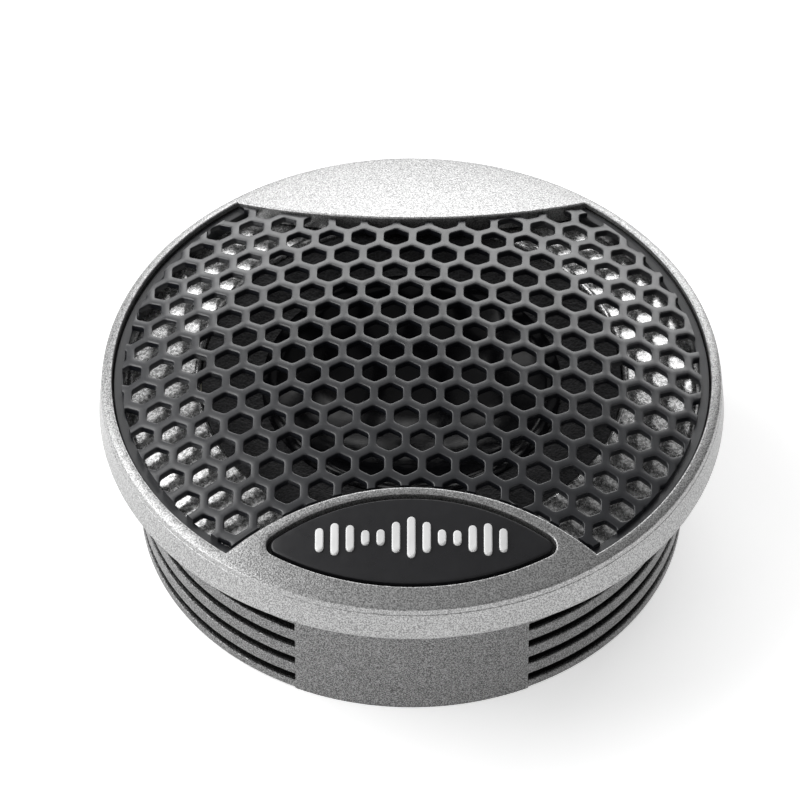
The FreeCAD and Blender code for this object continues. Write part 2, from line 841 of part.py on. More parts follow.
def terminal_slots(body, height, depth):
    """Slots for the blades and holes for the rivets, through a plate at a height."""
    sketch = new_sketch(body, "XY_Plane", height)
    for side, name in ((1, "positive"), (-1, "negative")):
        draw_rectangle(
            sketch,
            f"{side} * terminal_spacing / 2",
            "terminal_line",
            f"{name}_width + 0.1",
            "terminal_wall + 0.1",
        )
    for side in (1, -1):
        draw_circle(sketch, f"{side} * rivet_spacing / 2", "terminal_line", "rivet_radius + 0.05")
    return pocket_up(body, sketch, depth)


def make_terminal_board():
    """Small board inside the rear cover, trimmed to the bore."""
    body = new_body("terminal_board")
    top = "cover_seat + board_thickness"
    revolve(
        body,
        [("collar_outer + 0.2", "cover_seat"), ("bore_radius - 0.2", "cover_seat"),
         ("bore_radius - 0.2", top), ("collar_outer + 0.2", top)],
    )
    outline = new_sketch(body, "XY_Plane")
    draw_rectangle(outline, "0", "terminal_line", "board_length", "8")
    draw_circle(outline, "0", "0", "flange_radius")
    pocket_through(body, outline)
    terminal_slots(body, "cover_seat", "board_thickness + 0.1")
    return body


def make_rear_cover():
    """Disc in the housing's rebate, held by three screws."""
    body = ring("rear_cover", "0", "cover_radius", "cover_low", "cover_seat")
    terminal_slots(body, "cover_low", "cover_seat - cover_low + 0.1")
    for radius, depth in (
        ("screw_radius + 0.1", "cover_seat"),
        ("screw_head + 0.1", "screw_head_height"),
    ):
        sketch = new_sketch(body, "XY_Plane", "cover_low")
        draw_circle(sketch, "0", "-boss_circle", radius)
        hole = pocket_up(body, sketch, depth)
        around(body, hole, 3)
    return body


def turned_group(label, section, places):
    """Equal turned pieces, standing at several places, as separate solids."""
    points = [FreeCAD.Vector(x, 0, z) for x, z in section]
    face = Part.Face(Part.makePolygon(points + points[:1]))
    solid = face.revolve(FreeCAD.Vector(0, 0, 0), FreeCAD.Vector(0, 0, 1), 360)
    copies = []
    for place in places:
        copy = solid.copy()
        copy.translate(place)
        copies.append(copy)
    return static_piece(label, Part.Compound(copies))


def make_cover_screws():
    shank, head = size("screw_radius"), size("screw_head")
    low = size("cover_low") + 0.02
    neck = size("cover_low") + size("screw_head_height")
    section = [
        (0, low + 0.25), (0.35, low + 0.25), (0.35, low), (head, low), (head, neck),
        (shank, neck), (shank, size("screw_top") - 0.6), (0, size("screw_top")),
    ]
    places = [polar(size("boss_circle"), angle, 0) for angle in (-90, 30, 150)]
    turned_group("cover_screws", section, places)


def make_terminal_rivets():
    shank, head = size("rivet_radius"), size("rivet_radius") * 1.7
    low, top = size("cover_low"), size("cover_seat") + size("board_thickness")
    section = [
        (0, low), (shank, low), (shank, top), (head, top), (head * 0.6, top + 0.35), (0, top + 0.35),
    ]
    x = size("rivet_spacing") / 2
    places = [FreeCAD.Vector(side * x, size("terminal_line"), 0) for side in (1, -1)]
    turned_group("terminal_rivets", section, places)


# ---------------------------------------------------------------- build and write

make_housing()
make_bezel_ring()
make_bezel_seal()
make_badge_plate()
make_badge_emblem()
make_grille()
make_flare_ring()
make_chassis()
make_mounting_ring()
make_motor()
make_diaphragm()
make_voice_coil()
make_surround()
make_tinsel_leads()
make_solder_tabs()
make_hookup_wires()
make_terminals()
make_terminal_board()
make_terminal_rivets()
make_rear_cover()
make_cover_screws()
doc.recompute()

for item in doc.Objects:
    if "Invalid" in item.State or "Error" in item.State:
        raise RuntimeError(f"{item.Label} failed: {item.State}")

kinds = ("PartDesign::Body", "Part::Box", "Part::Cut", "Part::Feature")
used = [operand for item in doc.Objects if item.TypeId == "Part::Cut" for operand in item.OutList]
for piece in [item for item in doc.Objects if item.TypeId in kinds and item not in used]:
    if piece.Shape.isNull() or not piece.Shape.isValid() or not piece.Shape.Solids:
        raise RuntimeError(f"{piece.Label} has no valid solid")
    print(f"{piece.Label:26s} solids {len(piece.Shape.Solids):2d} volume {piece.Shape.Volume:9.3f}")
    piece.Shape.exportStep(f"parts/{piece.Label}.step")
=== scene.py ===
import json
import math

import bmesh
import bpy
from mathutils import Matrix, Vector, noise


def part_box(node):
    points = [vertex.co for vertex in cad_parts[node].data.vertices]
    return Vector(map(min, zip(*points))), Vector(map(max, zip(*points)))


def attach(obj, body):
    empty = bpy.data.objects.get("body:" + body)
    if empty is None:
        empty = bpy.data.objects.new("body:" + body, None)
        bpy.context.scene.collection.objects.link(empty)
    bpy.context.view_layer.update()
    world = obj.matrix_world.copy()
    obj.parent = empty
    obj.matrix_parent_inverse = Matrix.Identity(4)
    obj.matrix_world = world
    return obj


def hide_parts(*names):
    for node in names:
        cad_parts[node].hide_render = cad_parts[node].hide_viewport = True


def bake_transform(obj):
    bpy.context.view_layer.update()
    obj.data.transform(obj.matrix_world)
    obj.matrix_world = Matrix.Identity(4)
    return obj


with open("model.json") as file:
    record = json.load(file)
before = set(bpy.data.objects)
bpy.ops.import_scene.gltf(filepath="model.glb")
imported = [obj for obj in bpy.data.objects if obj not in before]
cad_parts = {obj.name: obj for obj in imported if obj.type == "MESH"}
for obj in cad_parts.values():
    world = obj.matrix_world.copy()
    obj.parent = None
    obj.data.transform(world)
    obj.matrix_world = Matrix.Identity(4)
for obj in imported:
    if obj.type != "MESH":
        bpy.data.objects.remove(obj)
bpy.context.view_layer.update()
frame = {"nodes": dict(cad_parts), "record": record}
MM = 0.001

# ---------------------------------------------------------------- sizes
# Heights and radii come from the frame's boxes. The front's curves repeat the part's own.

SPHERE = 67.56 * MM  # radius of the spheres that the whole front follows
CRESCENT_ARC = 24.1 * MM  # bounds the crescent
CRESCENT_MIDDLE = 13.9 * MM  # that arc crosses the Y axis here
FRAME_ARC = 22.8 * MM  # bounds the badge frame
FRAME_MIDDLE = 13.2 * MM  # that arc crosses the Y axis at minus this
BADGE_RISES = (3.2 * MM, 3.4 * MM)  # bulges towards the grille and towards the rim
BADGE_GAP = 0.32 * MM
BADGE_SINK = 0.12 * MM
HOLE_PITCH = 2.41 * MM
STRUT = 0.63 * MM
HOLE_ROW_OFFSET = 3.594 * MM
HOLE_COLUMN_OFFSET = -0.21 * MM
HOLE_TURN = math.radians(-1.24)
GRILLE_THICKNESS = 0.6 * MM
GRILLE_SINK = 0.32 * MM  # below the bezel's sphere
SKIRT_GAP = 0.11 * MM  # between the grille's skirt and the bezel's window
FLANGE_OVERHANG = 2.86 * MM
FLANGE_LOW = 10.62 * MM
GROOVE_FIRST = 0.8 * MM
GROOVE_WIDTH = 0.76 * MM
GROOVE_PITCH = 1.82 * MM
GROOVE_DEPTH = 0.6 * MM
GROOVE_COUNT = 5
GROOVE_HALF_ARC = math.radians(65)
FOAM_WALL = 0.2 * MM
FOAM_CLAMP = 14.0 * MM  # the flat clamped land begins here

BOXES = {name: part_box(name) for name in frame["nodes"]}


def top(node):
    return BOXES[node][1].z


def foot(node):
    return BOXES[node][0].z


def radius(node):
    return BOXES[node][1].x


FLANGE = radius("housing")
BARREL = FLANGE - FLANGE_OVERHANG
BEZEL_APEX = top("grille") + GRILLE_SINK
WINDOW = radius("grille") + SKIRT_GAP
BEZEL_EDGE = radius("bezel_ring")


def sphere_height(apex, r):
    """Height of the front's sphere whose top is at apex, at the radius r."""
    return apex - SPHERE + math.sqrt(SPHERE**2 - r**2)


# ---------------------------------------------------------------- mesh helpers


def new_object(name, mesh):
    piece = bpy.data.objects.new(name, mesh)
    bpy.context.scene.collection.objects.link(piece)
    return piece


def mesh_of(name, bm):
    """The finished mesh, with its faces turned outwards."""
    bmesh.ops.recalc_face_normals(bm, faces=bm.faces)
    mesh = bpy.data.meshes.new(name)
    bm.to_mesh(mesh)
    bm.free()
    return mesh


def shade(mesh, angle=35):
    """Smooth shading, with the edges sharper than the angle left crisp."""
    mesh.shade_smooth()
    mesh.set_sharp_from_angle(angle=math.radians(angle))


def even_normals(piece):
    """Lets the large faces lead the shading of the softened edges beside them."""
    weighted = piece.modifiers.new("even_normals", "WEIGHTED_NORMAL")
    weighted.keep_sharp = True


def arc_points(centre, reach, start, end, steps):
    """Points on an arc about centre, from one angle to another."""
    return [
        (centre[0] + reach * math.cos(a), centre[1] + reach * math.sin(a))
        for a in (start + (end - start) * k / steps for k in range(steps + 1))
    ]


def even_angles(count):
    return [2 * math.pi * k / count for k in range(count)]


def rounded(corners):
    """A closed outline whose corners (x, y, fillet radius) are rounded, with a support
    point on each side of every fillet so that flat stretches shade flat."""
    points = []
    count, steps = len(corners), 4
    for n, (x, y, fillet) in enumerate(corners):
        here = Vector((x, y))
        back = Vector(corners[n - 1][:2]) - here
        ahead = Vector(corners[(n + 1) % count][:2]) - here
        if not fillet:
            points.append((x, y))
            continue
        half = back.angle(ahead) / 2
        cut = min(fillet / math.tan(half), 0.45 * back.length, 0.45 * ahead.length)
        near, far = here + back.normalized() * cut, here + ahead.normalized() * cut
        support = min(0.4 * cut, 0.03 * min(back.length, ahead.length))
        points.append(tuple(near + back.normalized() * support))
        for k in range(steps + 1):
            share = k / steps
            between = near.lerp(here, share).lerp(here.lerp(far, share), share)
            points.append(tuple(between))
        points.append(tuple(far + ahead.normalized() * support))
    return points


def lathe(name, outline, angles=None, closed=True, shape=None):
    """Turns an outline (radius, height) round the Z axis, in even steps unless the
    angles are given. shape, if given, moves each point (angle, radius, height) to a new
    radius and height."""
    bm = bmesh.new()
    columns = []
    for angle in angles or even_angles(256):
        column = []
        for r, z in outline:
            if shape:
                r, z = shape(angle, r, z)
            column.append(bm.verts.new((r * math.cos(angle), r * math.sin(angle), z)))
        columns.append(column)
    rows = len(outline)
    for n, column in enumerate(columns):
        following = columns[(n + 1) % len(columns)]
        for k in range(rows if closed else rows - 1):
            corner = (column[k], following[k], following[(k + 1) % rows], column[(k + 1) % rows])
            bm.faces.new(corner)
    bmesh.ops.remove_doubles(bm, verts=bm.verts, dist=0.002 * MM)
    mesh = mesh_of(name, bm)
    shade(mesh)
    return new_object(name, mesh)


def plate(name, loops, bevel, place, thickness, spacing=0.9 * MM, steps=3):
    """A plate with outlines (lists of points) and softened edges. It is made flat, cut
    into a grid so that it can bend, and then place moves each point (x, y, depth below
    the top) to its height."""
    curve = bpy.data.curves.new(name, "CURVE")
    curve.dimensions = "2D"
    curve.fill_mode = "BOTH"
    curve.bevel_depth, curve.bevel_resolution = bevel, steps
    curve.offset = -bevel
    curve.extrude = thickness / 2 - bevel
    for loop in loops:
        spline = curve.splines.new("POLY")
        spline.points.add(len(loop) - 1)
        for point, (x, y) in zip(spline.points, loop):
            point.co = (x, y, 0, 1)
        spline.use_cyclic_u = True
    holder = new_object(name + "_outline", curve)
    flat = bpy.data.meshes.new_from_object(holder)
    bpy.data.objects.remove(holder)
    bm = bmesh.new()
    bm.from_mesh(flat)
    bmesh.ops.remove_doubles(bm, verts=bm.verts, dist=0.001 * MM)
    extent = [(min(v.co[k] for v in bm.verts), max(v.co[k] for v in bm.verts)) for k in (0, 1)]
    for axis, (low, high) in enumerate(extent):
        normal = Vector((1, 0, 0) if axis == 0 else (0, 1, 0))
        for k in range(1, int((high - low) / spacing)):
            everything = bm.verts[:] + bm.edges[:] + bm.faces[:]
            at = normal * (low + k * spacing)
            bmesh.ops.bisect_plane(bm, geom=everything, dist=0.001 * MM, plane_co=at, plane_no=normal)
    for v in bm.verts:
        v.co.z = place(v.co.x, v.co.y, thickness / 2 - v.co.z)
    mesh = mesh_of(name, bm)
    shade(mesh)
    piece = new_object(name, mesh)
    even_normals(piece)
    return piece


# ---------------------------------------------------------------- node materials


def principled(name, color, metallic, roughness):
    """A material whose shader and texture coordinates are ready to be wired up."""
    material = bpy.data.materials.new(name)
    material.use_nodes = True
    tree = material.node_tree
    shader = tree.nodes["Principled BSDF"]
    shader.inputs["Base Color"].default_value = (*color, 1)
    shader.inputs["Metallic"].default_value = metallic
    shader.inputs["Roughness"].default_value = roughness
    place = tree.nodes.new("ShaderNodeTexCoord").outputs["Object"]
    return material, tree, shader, place


def node(tree, kind, **values):
    """A node with its named properties or unlinked inputs set."""
    made = tree.nodes.new(kind)
    for key, value in values.items():
        if key in made.inputs:
            made.inputs[key].default_value = value
        else:
            setattr(made, key.lower(), value)
    return made


def noise_of(tree, place, scale, detail=3.0, rough=0.55):
    made = node(tree, "ShaderNodeTexNoise", Scale=scale, Detail=detail, Roughness=rough)
    tree.links.new(place, made.inputs["Vector"])
    return made.outputs["Fac"]


def cells_of(tree, place, scale):
    """Distance from the middle of the nearest cell."""
    made = node(tree, "ShaderNodeTexVoronoi", Scale=scale)
    tree.links.new(place, made.inputs["Vector"])
    return made.outputs["Distance"]


def radius_and_height(tree, place):
    """The distance from the Z axis, and Z."""
    apart = node(tree, "ShaderNodeSeparateXYZ")
    tree.links.new(place, apart.inputs["Vector"])
    flat = node(tree, "ShaderNodeCombineXYZ")
    for axis in "XY":
        tree.links.new(apart.outputs[axis], flat.inputs[axis])
    reach = node(tree, "ShaderNodeVectorMath", operation="LENGTH")
    tree.links.new(flat.outputs["Vector"], reach.inputs[0])
    return reach.outputs["Value"], apart.outputs["Z"]


def map_range(tree, value, source, target):
    """The value, mapped from one (low, high) pair to another and held between them."""
    made = tree.nodes.new("ShaderNodeMapRange")
    for key, end in zip(("From Min", "From Max", "To Min", "To Max"), (*source, *target)):
        made.inputs[key].default_value = end
    tree.links.new(value, made.inputs["Value"])
    return made.outputs["Result"]


def ramp(tree, value, stops):
    """A colour ramp through (position, colour or grey) stops."""
    made = tree.nodes.new("ShaderNodeValToRGB")
    elements = made.color_ramp.elements
    while len(elements) < len(stops):
        elements.new(0.5)
    for element, (position, color) in zip(elements, stops):
        element.position = position
        element.color = (*color, 1) if isinstance(color, tuple) else (color, color, color, 1)
    tree.links.new(value, made.inputs["Fac"])
    return made.outputs["Color"]


def bump(tree, shader, height, distance, strength=1.0):
    made = node(tree, "ShaderNodeBump", Strength=strength, Distance=distance)
    tree.links.new(height, made.inputs["Height"])
    tree.links.new(made.outputs["Normal"], shader.inputs["Normal"])
    return made


def vary_gloss(tree, shader, value, roughness, less, more):
    """Roughness that follows a texture, from a little less to a little more."""
    gloss = ramp(tree, value, [(0.3, roughness - less), (0.7, roughness + more)])
    tree.links.new(gloss, shader.inputs["Roughness"])


def vary_color(tree, shader, value, color, dark, light, low=0.3):
    """Colour that follows a texture, between two shades that are multiples of it."""
    shades = [(low, tuple(c * dark for c in color)), (0.7, tuple(c * light for c in color))]
    tree.links.new(ramp(tree, value, shades), shader.inputs["Base Color"])


def cast_paint(name, dark, light, grain, depth, roughness, barrel_shade=(0.5, 1.0), coarse=1.0):
    """Silver paint over a sand-cast skin: grains of slightly different grey, each
    tilted a little by the bump, so that the surface sparkles. Below the flange its dark
    and light greys are scaled by barrel_shade, as painted shade under the flange, its
    bump is stronger by coarse, and painted shade darkens its grooves."""
    material, tree, shader, place = principled(name, (light, light, light), 0.8, roughness)
    reach, height = radius_and_height(tree, place)
    # below these heights the greys carry painted shade from the flange and the bump is stronger
    flange_edge_heights = (FLANGE_LOW - 0.22 * MM, FLANGE_LOW + 0.08 * MM)
    groove_floor, groove_mouth, groove_shade = BARREL - 0.3 * MM, BARREL - 0.05 * MM, 0.12
    strength = 0.22

    painted = ramp(tree, noise_of(tree, place, grain, 1.0, 0.7), [(0.40, dark), (0.60, light)])
    # painted shade under the flange: the barrel's greys are scaled down below it
    stops = [(0.40, dark * barrel_shade[0]), (0.62, light * barrel_shade[1])]
    grains = ramp(tree, noise_of(tree, place, grain * 1.05, 1.0, 0.8), stops)
    # painted shade in the grooves: the colour darkens towards each groove's floor
    shading = map_range(tree, reach, (groove_floor, groove_mouth), (groove_shade, 1.0))
    cast = node(tree, "ShaderNodeVectorMath", operation="MULTIPLY")
    tree.links.new(grains, cast.inputs[0])
    tree.links.new(shading, cast.inputs[1])
    mixed = node(tree, "ShaderNodeMixRGB")
    tree.links.new(map_range(tree, height, flange_edge_heights, (0.0, 1.0)), mixed.inputs["Fac"])
    tree.links.new(cast.outputs["Vector"], mixed.inputs["Color1"])
    tree.links.new(painted, mixed.inputs["Color2"])
    tree.links.new(mixed.outputs["Color"], shader.inputs["Base Color"])

    vary_gloss(tree, shader, noise_of(tree, place, grain * 0.5), roughness, 0.08, 0.1)
    relief = bump(tree, shader, noise_of(tree, place, grain * 0.9, 1.0, 0.6), depth)
    strengths = (min(1.0, strength * coarse), strength)
    tree.links.new(map_range(tree, height, flange_edge_heights, strengths), relief.inputs["Strength"])
    return material


def satin_plastic(name, color, roughness, grain=2500, depth=0.004 * MM, specular=0.5):
    """Moulded plastic: a faint even texture, and gloss that varies a little."""
    material, tree, shader, place = principled(name, color, 0.0, roughness)
    shader.inputs["Specular IOR Level"].default_value = specular
    vary_color(tree, shader, noise_of(tree, place, 180), color, 0.88, 1.12)
    vary_gloss(tree, shader, noise_of(tree, place, 900), roughness, 0.04, 0.05)
    bump(tree, shader, noise_of(tree, place, grain), depth, 0.5)
    return material


def spun_metal(name, color, roughness):
    """Turned or rolled metal with fine concentric marks."""
    rings, depth = 9000, 0.002 * MM
    material, tree, shader, place = principled(name, color, 1.0, roughness)
    line = node(tree, "ShaderNodeTexNoise", noise_dimensions="1D", Scale=rings, Detail=2.0)
    tree.links.new(radius_and_height(tree, place)[0], line.inputs["W"])
    vary_color(tree, shader, noise_of(tree, place, 400), color, 0.85, 1.0)
    vary_gloss(tree, shader, line.outputs["Fac"], roughness, 0.06, 0.08)
    bump(tree, shader, line.outputs["Fac"], depth, 0.6)
    return material


def foam(name, color, grain):
    """Open-cell foam or felt: light cell walls, with painted shade darkening the pits between them.
    """
    material, tree, shader, place = principled(name, color, 0.0, 0.85)
    shader.inputs["Sheen Weight"].default_value = 0.25
    walls = cells_of(tree, place, grain)
    # painted shade in the pits: the colour is darkest at each cell's middle
    vary_color(tree, shader, walls, color, 0.35, 2.4, low=0.1)
    bump(tree, shader, walls, 0.08 * MM, 0.9)
    return material


MATERIALS = {
    # (0.30, 0.62) is the painted shade that darkens the barrel's greys below the flange
    "silver_paint": cast_paint("silver_paint", 0.23, 0.52, 9500, 0.09 * MM, 0.34, (0.30, 0.62), 4.5),
    "silver_flare": cast_paint("silver_flare", 0.35, 0.78, 4500, 0.018 * MM, 0.24),
    "grille_black": satin_plastic("grille_black", (0.006, 0.007, 0.010), 0.33, specular=0.85),
    "badge_black": satin_plastic("badge_black", (0.012, 0.012, 0.014), 0.30, 3500, 0.002 * MM),
    "badge_white": satin_plastic("badge_white", (0.80, 0.80, 0.80), 0.35),
    "seal_rubber": satin_plastic("seal_rubber", (0.012, 0.012, 0.012), 0.6),
    "foam_black": foam("foam_black", (0.006, 0.006, 0.007), 4200),
    "dome_metal": satin_plastic(
        "dome_metal", (0.004, 0.004, 0.005), 0.12, 900, 0.001 * MM, specular=0.14
    ),
    "former_film": satin_plastic("former_film", (0.45, 0.20, 0.04), 0.3),
    "copper_wire": spun_metal("copper_wire", (0.80, 0.38, 0.20), 0.3),
    "moulded_black": satin_plastic("moulded_black", (0.018, 0.018, 0.019), 0.5, 3000, 0.01 * MM),
    "yoke_steel": spun_metal("yoke_steel", (0.56, 0.57, 0.58), 0.35),
    "magnet_nickel": spun_metal("magnet_nickel", (0.70, 0.69, 0.66), 0.2),
    "felt_grey": foam("felt_grey", (0.16, 0.16, 0.16), 3500),
    "tinned_brass": spun_metal("tinned_brass", (0.78, 0.74, 0.62), 0.3),
    "board_brown": satin_plastic("board_brown", (0.22, 0.10, 0.04), 0.5),
    "wire_red": satin_plastic("wire_red", (0.42, 0.015, 0.015), 0.45),
    "wire_black": satin_plastic("wire_black", (0.014, 0.014, 0.014), 0.45),
    "screw_zinc": spun_metal("screw_zinc", (0.60, 0.61, 0.62), 0.3),
}


def finish_nodes():
    """Gives every carried-over CAD node the material of its slot in the record."""
    for entry in frame["record"]["subparts"]:
        mesh = frame["nodes"][entry["node"]].data
        mesh.materials.clear()
        mesh.materials.append(MATERIALS[entry["material_slot"]])


def stand_for(piece, cad_node, body="tweeter"):
    """The piece takes a CAD node's place and its slot's material, and joins the body given, if any.
    """
    slot = next(e["material_slot"] for e in frame["record"]["subparts"] if e["node"] == cad_node)
    piece.data.materials.append(MATERIALS[slot])
    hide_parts(cad_node)
    if body:
        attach(piece, body)
    return piece


def add_fixed(piece, slot):
    """The piece stands for no CAD node. It takes the slot's material and doesn't move."""
    piece.data.materials.append(MATERIALS[slot])
    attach(piece, "tweeter")


# ---------------------------------------------------------------- housing


def make_housing():
    """The flange band and the barrel. On both sides the barrel has grooves that start
    and end in a short wall."""
    bore = FLANGE - 4.6 * MM
    rebate = radius("rear_cover") + 0.1 * MM
    counterbore = radius("grille") + 0.1 * MM
    seat, ledge, high = top("rear_cover"), top("chassis") - 0.7 * MM, top("housing")
    upper = FLANGE - 0.22 * MM
    slope, land = 0.24 * MM, 0.6 * MM
    edge, bottom = 0.06 * MM, BARREL - GROOVE_DEPTH
    outline = [(rebate, 0, 0), (BARREL, 0, 0.25 * MM)]
    for number in range(GROOVE_COUNT):
        low = GROOVE_FIRST + number * GROOVE_PITCH
        roof = low + GROOVE_WIDTH
        outline += [
            (BARREL, low - edge, 0), (BARREL - edge, low, 0), (bottom, low, 0),
            (bottom, roof, 0), (BARREL - edge, roof, 0), (BARREL, roof + edge, 0),
        ]
    outline += [
        (BARREL, FLANGE_LOW, 0.2 * MM), (FLANGE, FLANGE_LOW, 0.3 * MM),
        (upper, high - slope, 0.15 * MM), (upper - land, high, 0),
        (counterbore, high, 0.1 * MM), (counterbore, ledge, 0), (bore, ledge, 0),
        (bore, seat, 0), (rebate, seat, 0),
    ]
    # even steps, and two angles close together at each end of the grooves
    close = math.radians(0.25)
    ends = [side + swing for side in (0, math.pi) for swing in (-GROOVE_HALF_ARC, GROOVE_HALF_ARC)]
    angles = {round(angle, 9) for angle in even_angles(288)}
    angles |= {round((end + shift) % (2 * math.pi), 9) for end in ends for shift in (-close, close)}
    deepest = BARREL - GROOVE_DEPTH * 1.1

    def grooved(angle, r, z):
        off_axis = min(abs(math.remainder(angle - side, 2 * math.pi)) for side in (0, math.pi))
        if z < FLANGE_LOW and deepest < r < BARREL and off_axis > GROOVE_HALF_ARC:
            r = BARREL
        return r, z

    stand_for(lathe("housing_shell", rounded(outline), sorted(angles), shape=grooved), "housing")


# ---------------------------------------------------------------- front shell


def window_loop(rim=WINDOW, rear_reach=CRESCENT_ARC, front_reach=FRAME_ARC, steps=(90, 50)):
    """The grille's opening: rim, crescent arc, rim, badge frame arc. With other radii the
    circles keep their centres. steps are those of a rim's arc and of the other two."""
    rear, front = CRESCENT_MIDDLE + CRESCENT_ARC, FRAME_MIDDLE + FRAME_ARC
    rear_y = (rear**2 + rim**2 - rear_reach**2) / (2 * rear)
    front_y = (front**2 + rim**2 - front_reach**2) / (2 * front)
    rear_turn, front_turn = math.asin(rear_y / rim), math.asin(front_y / rim)
    rear_swing = math.acos((rear - rear_y) / rear_reach)
    front_swing = math.acos((front - front_y) / front_reach)
    up, down = math.pi / 2, -math.pi / 2
    loop = arc_points((0, 0), rim, -front_turn, rear_turn, steps[0])
    loop += arc_points((0, rear), rear_reach, down + rear_swing, down - rear_swing, steps[1])[1:]
    loop += arc_points((0, 0), rim, math.pi - rear_turn, math.pi + front_turn, steps[0])[1:]
    loop += arc_points((0, -front), front_reach, up + front_swing, up - front_swing, steps[1])[1:-1]
    return loop


def lens_loop(grow=0.0):
    """The badge's outline, or one that stands off from it: an arc towards the grille, an
    arc towards the rim, and a small arc round each tip that is tangent to both."""
    tip = 0.6 * MM
    low, high = BOXES["badge_plate"]
    half, line = high.x, low.y + BADGE_RISES[1]
    reaches = [(half**2 + rise**2) / (2 * rise) for rise in BADGE_RISES]
    lower = line + BADGE_RISES[0] - reaches[0]
    upper = line - BADGE_RISES[1] + reaches[1]
    near, far = reaches[0] - tip, reaches[1] - tip
    y = (near**2 - far**2 + upper**2 - lower**2) / (2 * (upper - lower))
    x = math.sqrt(near**2 - (y - lower) ** 2)
    rise_angle, fall_angle = math.atan2(y - lower, x), math.atan2(y - upper, x)
    rise_end, fall_end = math.pi - rise_angle, math.pi - fall_angle
    loop = arc_points((0, lower), reaches[0] + grow, rise_angle, rise_end, 48)
    loop += arc_points((-x, y), tip + grow, rise_end, fall_end, 8)[1:]
    loop += arc_points((0, upper), reaches[1] + grow, fall_end, 2 * math.pi + fall_angle, 48)[1:]
    loop += arc_points((x, y), tip + grow, fall_angle, rise_angle, 8)[1:-1]
    return loop


def circle_loop(r):
    count = 256
    return arc_points((0, 0), r, 0, 2 * math.pi * (1 - 1 / count), count - 1)


def make_bezel():
    """Outer ring, crescent and badge frame, one skin on the front's sphere."""
    thickness, soft = 1.0 * MM, 0.16 * MM
    plate_radius, plate_depth = WINDOW - 0.96 * MM, 1.5 * MM
    step_radius, step = WINDOW - 0.05 * MM, 13.5 * MM
    roll_width, roll_drop = 0.5 * MM, 0.03 * MM

    def place(x, y, depth):
        r = math.hypot(x, y)
        if depth < thickness / 2:
            # the outer edge rolls over a little more than the bevel does
            roll = max(0.0, (r - (BEZEL_EDGE - roll_width)) / roll_width)
            return sphere_height(BEZEL_APEX, r) - depth - roll_drop * roll**2
        if r > plate_radius:
            return foot("bezel_ring") if r > step_radius else step
        return sphere_height(BEZEL_APEX, r) - plate_depth

    loops = [circle_loop(BEZEL_EDGE), window_loop(), lens_loop(BADGE_GAP)]
    stand_for(plate("bezel_shell", loops, soft, place, thickness), "bezel_ring")


def badge_height(x, y, depth):
    """Height of a point that lies this deep below the badge's face."""
    return sphere_height(BEZEL_APEX - BADGE_SINK, math.hypot(x, y)) - depth


def make_badge():
    """The badge plate, and a dark sheet under it: painted shade in the gap round the badge."""
    shade_sheet_depth = 0.5 * MM

    def sunk(x, y, depth):
        return badge_height(x, y, depth + shade_sheet_depth)

    lens = plate("badge_lens", [lens_loop()], 0.14 * MM, badge_height, 0.7 * MM, steps=4)
    stand_for(lens, "badge_plate")
    # painted shade: a black sheet below the badge makes the gap round it dark
    shade_sheet = plate("badge_shade_sheet", [lens_loop(BADGE_GAP)], 0.02 * MM, sunk, 0.25 * MM)
    add_fixed(shade_sheet, "seal_rubber")


def make_emblem():
    """A row of raised bars whose lengths rise and fall, shorter towards both ends."""
    relief = 0.25 * MM
    low, high = BOXES["badge_emblem"]
    middle, pitch, width = (low.y + high.y) / 2, 1.1 * MM, 0.6 * MM
    loops = []
    for n in range(-6, 7):
        swell = 0.34 + 0.66 * math.cos(n * math.pi / 5) ** 2
        taper = 1 - 0.045 * abs(n)
        end = ((high.y - low.y) * swell * taper - width) / 2
        x = n * pitch
        loop = arc_points((x, middle + end), width / 2, 0, math.pi, 8)
        loop += arc_points((x, middle - end), width / 2, math.pi, 2 * math.pi, 8)
        loops.append(loop)

    def raised(x, y, depth):
        return badge_height(x, y, depth - relief)

    bars = plate("badge_bars", loops, 0.09 * MM, raised, 0.3 * MM, spacing=0.5 * MM)
    stand_for(bars, "badge_emblem")


# ---------------------------------------------------------------- grille


def hole_ring(apothem, fillet, grow):
    """A hexagonal hole's outline about the origin, with flats across its X axis and
    rounded corners, grown by a distance."""
    spread = math.radians(30)
    centre = (apothem - fillet) / math.cos(spread)
    points = []
    for k in range(6):
        corner = math.radians(30 + 60 * k)
        middle = (centre * math.cos(corner), centre * math.sin(corner))
        points += arc_points(middle, fillet + grow, corner - spread, corner + spread, 4)
    return points


def cell_ring(points, apothem):
    """Where the rays through the points leave the hexagonal cell round the hole."""
    ring = []
    for x, y in points:
        angle = math.atan2(y, x)
        flat = round(angle / math.radians(60)) * math.radians(60)
        reach = apothem / math.cos(angle - flat)
        ring.append((reach * math.cos(angle), reach * math.sin(angle)))
    return ring


def hole_centres(reach):
    """Centres of the holes, in staggered rows, before the pattern is turned."""
    rise = HOLE_PITCH * math.sqrt(3) / 2
    steps = int(reach / rise) + 2
    for row in range(-steps, steps + 1):
        for column in range(-steps, steps + 1):
            x = HOLE_COLUMN_OFFSET + (column + (0.5 if row % 2 == 0 else 0)) * HOLE_PITCH
            y = HOLE_ROW_OFFSET + row * rise
            if math.hypot(x, y) < reach:
                yield x, y


def turned(x, y):
    """The point, turned about the Z axis with the hole pattern."""
    cosine, sine = math.cos(HOLE_TURN), math.sin(HOLE_TURN)
    return x * cosine - y * sine, x * sine + y * cosine


